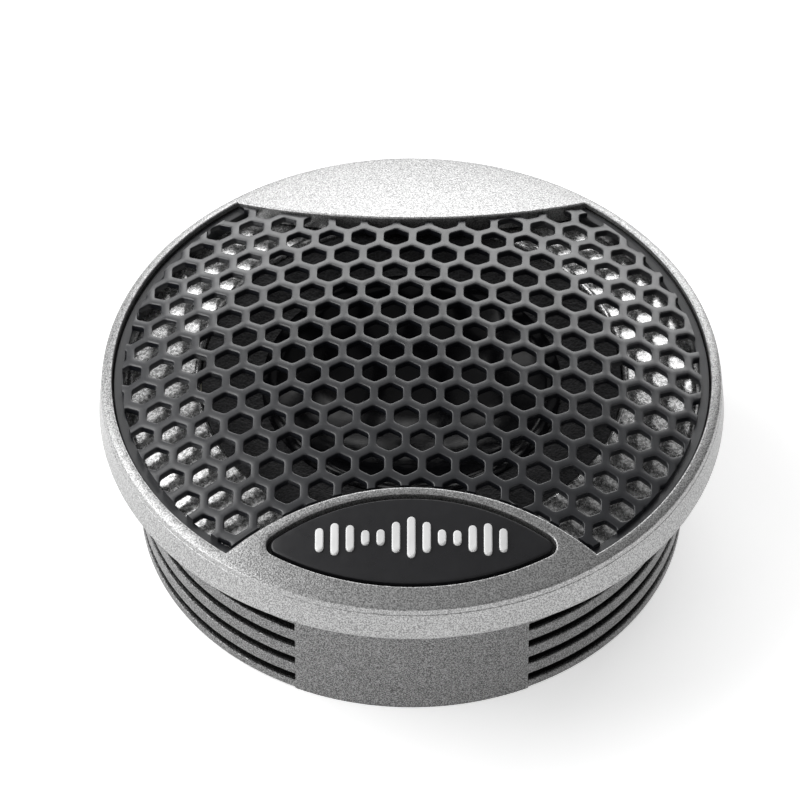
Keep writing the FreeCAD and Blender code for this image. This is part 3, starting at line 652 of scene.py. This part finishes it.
def lattice(extent):
    """The flat lattice: one collar of faces round each hole, from the cell's border over
    the softened rim and down the wall to the underside. Depth is stored as minus Z."""
    wall, soft, fillet = GRILLE_THICKNESS, 0.09 * MM, 0.36 * MM
    apothem = (HOLE_PITCH - STRUT) / 2
    hole = hole_ring(apothem, fillet, 0)
    border = cell_ring(hole, HOLE_PITCH / 2)
    rim = []
    for k in range(4):
        angle = k * math.pi / 6
        grow, depth = soft * (1 - math.sin(angle)), soft * (1 - math.cos(angle))
        rim.append((hole_ring(apothem, fillet, grow), depth))
    underside = [(ring, wall - depth) for ring, depth in reversed(rim)]
    collars = [(border, 0.0)] + rim + underside + [(border, wall)]
    bm = bmesh.new()
    for x, y in hole_centres(extent):
        rows = []
        for ring, depth in collars:
            rows.append([bm.verts.new((*turned(x + px, y + py), -depth)) for px, py in ring])
        for upper, lower in zip(rows, rows[1:]):
            for k in range(len(upper)):
                after = (k + 1) % len(upper)
                bm.faces.new((upper[k], upper[after], lower[after], lower[k]))
    bmesh.ops.remove_doubles(bm, verts=bm.verts, dist=0.003 * MM)

    def spot(v):
        return round(v.co.x / MM, 2), round(v.co.y / MM, 2)

    # walls that close the lattice's outer border
    below = {spot(v): v for v in bm.verts if v.co.z < -wall * 0.999}
    for edge in [e for e in bm.edges if len(e.link_faces) == 1 and e.verts[0].co.z > -wall / 2]:
        a, b = edge.verts
        bm.faces.new((a, b, below[spot(b)], below[spot(a)]))
    return mesh_of("grille_flat", bm)


def trim_prism():
    """A closed prism over the part of the front that the mesh covers. It ends inside the
    skirt, just under the crescent, and short of the badge frame."""
    rim = radius("grille") - 0.62 * MM
    rear_reach, front_reach = CRESCENT_ARC + 0.12 * MM, FRAME_ARC + 0.35 * MM
    loop = window_loop(rim, rear_reach, front_reach, steps=(80, 40))
    low, high = -2 * MM, 1 * MM
    bm = bmesh.new()
    face = bm.faces.new([bm.verts.new((x, y, low)) for x, y in loop])
    lifted = bmesh.ops.extrude_face_region(bm, geom=[face])
    for v in lifted["geom"]:
        if isinstance(v, bmesh.types.BMVert):
            v.co.z = high
    return new_object("trim_prism", mesh_of("trim_prism", bm))


def make_grille():
    """The perforated dome: the flat lattice, trimmed, then laid on its sphere."""
    flat = lattice(radius("grille") + 0.5 * HOLE_PITCH)
    whole, prism = new_object("grille_flat", flat), trim_prism()
    trim = whole.modifiers.new("trim", "BOOLEAN")
    trim.object, trim.operation, trim.solver = prism, "INTERSECT", "EXACT"
    bpy.context.view_layer.update()
    cut = whole.evaluated_get(bpy.context.evaluated_depsgraph_get())
    mesh = bpy.data.meshes.new_from_object(cut)
    for spare in (whole, prism):
        bpy.data.objects.remove(spare)
    for v in mesh.vertices:
        v.co.z += sphere_height(top("grille"), math.hypot(v.co.x, v.co.y))
    mesh.update()
    mesh.materials.clear()
    shade(mesh, 50)
    even_normals(stand_for(new_object("grille_dome", mesh), "grille"))


def make_skirt():
    """The ring that carries the perforated dome, on the flare ring's seat."""
    outer, inner = radius("grille"), radius("grille") - 0.75 * MM
    low, high = foot("grille"), foot("grille") + 0.9 * MM
    soft = 0.1 * MM
    outline = rounded([(inner, low, 0), (outer, low, 0), (outer, high, soft), (inner, high, soft)])
    add_fixed(lathe("grille_skirt", outline), "grille_black")


# ---------------------------------------------------------------- inside


def make_flare():
    """The silver ring round the diaphragm, parallel to the grille, with a rolled lip."""
    low, high = BOXES["flare_ring"]
    outer, inner = high.x, 15.5 * MM
    seat, shelf = radius("grille") - 0.95 * MM, foot("grille")
    crown, lip = 15.85 * MM, 0.35 * MM
    outline = [(inner, low.z), (outer, low.z), (outer, shelf), (seat, shelf)]
    start, span, steps = seat - 0.05 * MM, inner + 0.45 * MM - seat, 24
    for k in range(steps + 1):
        r = start + span * k / steps
        outline.append((r, sphere_height(crown, r)))
    lip_centre = (inner + lip, high.z - lip - 0.1 * MM)
    outline += arc_points(lip_centre, lip, math.radians(80), math.pi, 6)
    stand_for(lathe("flare_casting", outline), "flare_ring")


def make_surround():
    """The foam's skin, which slopes from the clamped land down to the dome. Its grains
    are real bumps, which fade out towards both edges."""
    outer, inner, bond = radius("surround_foam"), 10.15 * MM, 11.2 * MM
    upper_outer = top("surround_foam")
    upper_inner = upper_outer - 0.6 * MM
    count, relief, grain, fade = 40, 0.07 * MM, 4200, 0.3 * MM
    outline = []
    for k in range(count + 1):
        r = inner + (outer - inner) * k / count
        share = min(1, max(0, (r - bond) / (FOAM_CLAMP - bond)))
        rise = (upper_outer - upper_inner) * share * share * (3 - 2 * share)
        outline.append((r, upper_inner + rise))
    under = [(r, z - FOAM_WALL) for r, z in reversed(outline)]

    def grainy(angle, r, z):
        here = Vector((r * math.cos(angle), r * math.sin(angle), z))
        inside = min(1.0, (outer - r) / fade, (r - inner) / fade)
        return r, z + relief * inside * noise.noise(here * grain)

    piece = lathe("surround_ring", outline + under, even_angles(420), shape=grainy)
    stand_for(piece, "surround_foam", body=None)
    start, end = (0, 0, upper_outer - FOAM_WALL), (0, 0, upper_inner)
    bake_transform(piece)
    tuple(start)
    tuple(end)


def make_surround_land():
    """The clamped land under the foam's skin. It doesn't move, so it is a piece of its own."""
    overlap = 0.04 * MM
    outer = radius("surround_foam")
    base = top("diaphragm_mounting_ring")
    roof = top("surround_foam") - FOAM_WALL + overlap
    outline = [(FOAM_CLAMP, base), (outer, base), (outer, roof), (FOAM_CLAMP, roof)]
    land = lathe("surround_land", outline)
    add_fixed(land, "foam_black")


def make_lead(cad_node, side):
    """A tinsel lead from the voice coil out to its solder tab, with a slack wave and the
    relief of its strands."""
    inner, outer = 10.15 * MM, 13.45 * MM
    low, high, gauge, wave = 11.6 * MM, 11.85 * MM, 0.13 * MM, 0.12 * MM
    strands, relief, twist = 3, 0.12, 22
    steps, around = 24, 10
    bm = bmesh.new()
    rings = []
    for k in range(steps + 1):
        share = k / steps
        x = inner + (outer - inner) * share
        z = low + (high - low) * share + wave * math.sin(2 * math.pi * share)
        ring = []
        for angle in even_angles(around):
            r = gauge * (1 + relief * math.sin(strands * angle + twist * share))
            ring.append(bm.verts.new((side * x, r * math.cos(angle), z + r * math.sin(angle))))
        rings.append(ring)
    for near, far in zip(rings, rings[1:]):
        for n in range(around):
            after = (n + 1) % around
            bm.faces.new((near[n], near[after], far[after], far[n]))
    bm.faces.new(rings[0])
    bm.faces.new(rings[-1])
    name = cad_node + "_braid"
    mesh = mesh_of(name, bm)
    shade(mesh, 60)
    piece = stand_for(new_object(name, mesh), cad_node, body=None)
    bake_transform(piece)


def make_dome():
    """The inverted dome: a thin dish with a flat rim whose outer edge is softened."""
    low, high = BOXES["dome_diaphragm"]
    rim, dish, wall, soft = high.x, 10.0 * MM, 0.12 * MM, 0.02 * MM
    depth = high.z - wall - low.z
    reach = (dish**2 + depth**2) / (2 * depth)
    swing = math.asin(dish / reach)
    centre = (0, high.z - wall - depth + reach)
    under = arc_points(centre, reach, -math.pi / 2, -math.pi / 2 + swing, 40)
    over = [(r, z + wall) for r, z in under]
    under[0], over[0] = (0, under[0][1]), (0, over[0][1])
    edge = [(rim - soft, high.z - wall), (rim, high.z - wall / 2), (rim - soft, high.z)]
    dome = lathe("dome_dish", under + edge + over[::-1], closed=False)
    stand_for(dome, "dome_diaphragm", "diaphragm")


# ---------------------------------------------------------------- camera, lights, floor


def make_camera():
    """A long lens from the front, 48 degrees up."""
    data = bpy.data.cameras.new("camera")
    data.lens, data.sensor_width = 346.94, 36
    data.clip_start, data.clip_end = 0.01, 20
    camera = bpy.data.objects.new("camera", data)
    distance, elevation = 25 * FLANGE, math.radians(47.75)
    camera.location = (0, -distance * math.cos(elevation), distance * math.sin(elevation))
    aim = Vector((-0.0375, 0.2461, 0.2236)) * FLANGE
    camera.rotation_mode = "QUATERNION"
    camera.rotation_quaternion = (aim - camera.location).to_track_quat("-Z", "Y")
    bpy.context.scene.collection.objects.link(camera)
    bpy.context.scene.camera = camera


def softbox(name, place, wide, high, power):
    """A rectangular light that faces the part and isn't seen by the camera."""
    aim = Vector((0, 0, 0.01))
    data = bpy.data.lights.new(name, "AREA")
    data.shape = "RECTANGLE"
    data.size, data.size_y, data.energy = wide, high, power
    light = bpy.data.objects.new(name, data)
    light.visible_camera = False
    light.location = place
    light.rotation_mode = "QUATERNION"
    light.rotation_quaternion = (aim - Vector(place)).to_track_quat("-Z", "Y")
    bpy.context.scene.collection.objects.link(light)


def make_studio():
    """A large and a low soft light on the left, a wide one behind, and a room that is
    darker on the right."""
    softbox("key_left", (-1.15, 0.3, 0.95), 1.2, 1.2, 15)
    softbox("fill_left", (-1.2, -0.45, 0.22), 0.8, 0.4, 5)
    softbox("glow_back", (0.15, 1.35, 0.66), 1.5, 0.75, 13)
    world = bpy.data.worlds.new("room")
    bpy.context.scene.world = world
    world.use_nodes = True
    tree = world.node_tree
    back = tree.nodes["Background"]
    back.inputs["Strength"].default_value = 0.6
    apart = node(tree, "ShaderNodeSeparateXYZ")
    tree.links.new(tree.nodes.new("ShaderNodeTexCoord").outputs["Generated"], apart.inputs["Vector"])
    side = map_range(tree, apart.outputs["X"], (-1.0, 1.0), (0.0, 1.0))
    tree.links.new(ramp(tree, side, [(0.1, 1.0), (0.85, 0.35)]), back.inputs["Color"])
    bpy.context.scene.view_settings.view_transform = "Standard"


def make_floor():
    """Pale paper that glows a little, so that shadows on it stay light."""
    bm = bmesh.new()
    bmesh.ops.create_grid(bm, x_segments=1, y_segments=1, size=4)
    mesh = bpy.data.meshes.new("floor")
    bm.to_mesh(mesh)
    bm.free()
    floor = new_object("floor", mesh)
    floor.location.z = -0.02 * MM
    material, tree, shader, place = principled("floor_paper", (0.9, 0.9, 0.9), 0.0, 0.9)
    tones = ramp(tree, noise_of(tree, place, 30), [(0.3, 0.88), (0.7, 0.92)])
    tree.links.new(tones, shader.inputs["Base Color"])
    shader.inputs["Emission Color"].default_value = (1, 1, 1, 1)
    shader.inputs["Emission Strength"].default_value = 0.50
    mesh.materials.append(material)


# ---------------------------------------------------------------- build

make_camera()
make_studio()
make_floor()
finish_nodes()
make_housing()
make_bezel()
make_badge()
make_emblem()
make_grille()
make_skirt()
make_flare()
make_surround()
make_surround_land()
make_dome()
make_lead("tinsel_lead_positive", 1)
make_lead("tinsel_lead_negative", -1)
